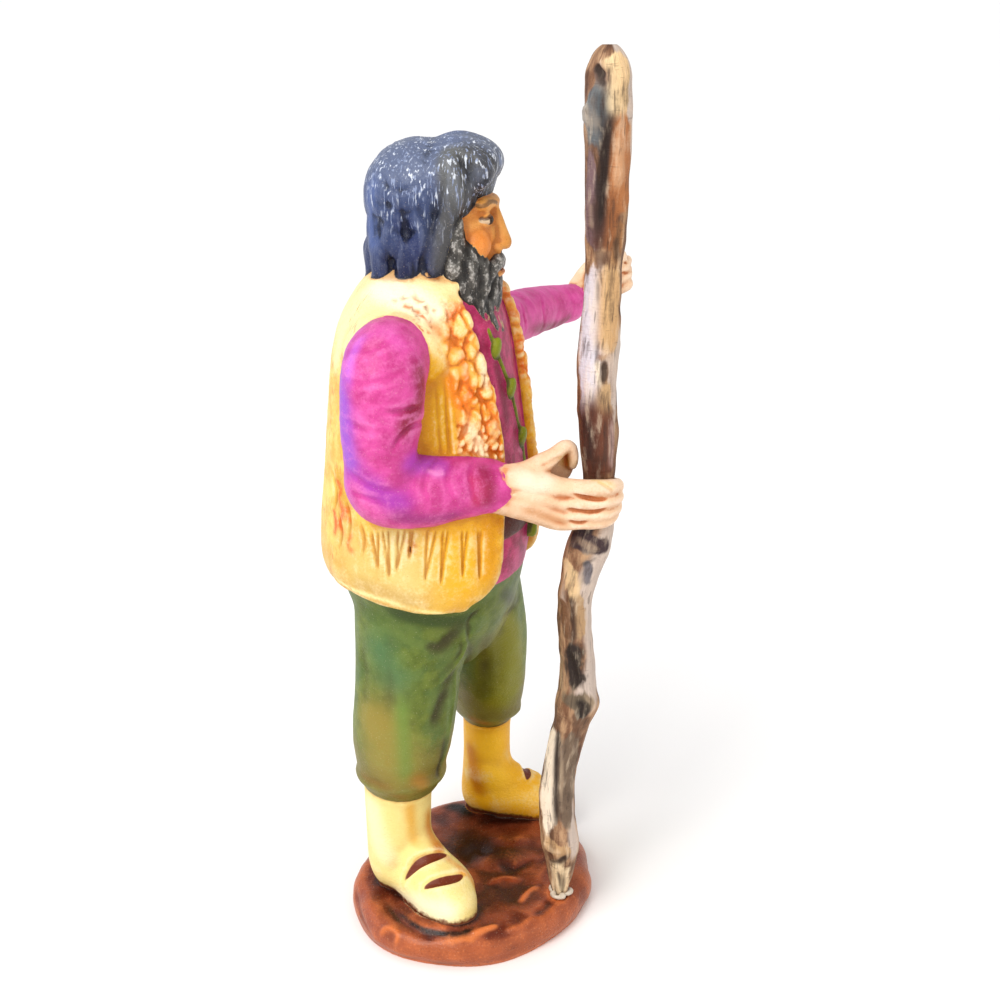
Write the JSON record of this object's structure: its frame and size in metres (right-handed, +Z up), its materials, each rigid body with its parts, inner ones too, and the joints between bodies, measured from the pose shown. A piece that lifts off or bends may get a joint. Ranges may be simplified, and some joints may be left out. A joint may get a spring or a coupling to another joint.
{
  "type": "nativity shepherd figurine",
  "caption": "Standing bearded shepherd in a vest and knee breeches, one arm held out, a twig staff in the closed hand, on a round base.",
  "frame": {"origin": "middle of the base's flat underside", "axes": "+Z up, the figure faces -Y, its left arm is held out along +X"},
  "size_m": [0.1509, 0.0776, 0.225],
  "materials": {
    "painted_terracotta": "hand-painted, satin, with washes in the hollows",
    "staff_wood": "raw twig, bark partly peeled"
  },
  "bodies": {
    "root": {"shepherd": "painted_terracotta", "staff": "staff_wood"}
  },
  "joints": []
}
